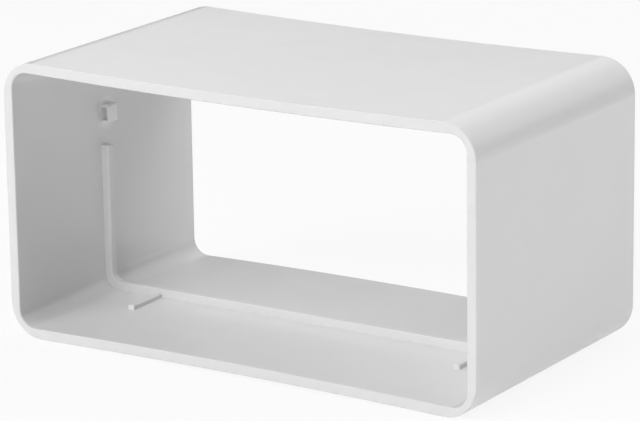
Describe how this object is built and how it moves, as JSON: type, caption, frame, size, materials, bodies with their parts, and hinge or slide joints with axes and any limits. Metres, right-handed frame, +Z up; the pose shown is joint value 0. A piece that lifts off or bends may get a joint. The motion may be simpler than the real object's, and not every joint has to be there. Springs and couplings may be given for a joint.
{
  "type": "flat duct connector",
  "caption": "Straight moulded plastic sleeve that joins lengths of flat rectangular ventilation duct end to end, with a socket at each end and a stop rib inside.",
  "frame": {"origin": "middle of the sleeve, on the duct axis, halfway between the two mouths", "axes": "+Y along the duct axis from the front mouth to the back mouth, +X across the width, +Z up from the long wall that it lies on"},
  "size_m": [0.1164, 0.066, 0.061],
  "materials": {
    "white_plastic": "moulded white plastic with a soft satin gloss"
  },
  "bodies": {
    "root": {"duct_connector": "white_plastic"}
  },
  "joints": []
}
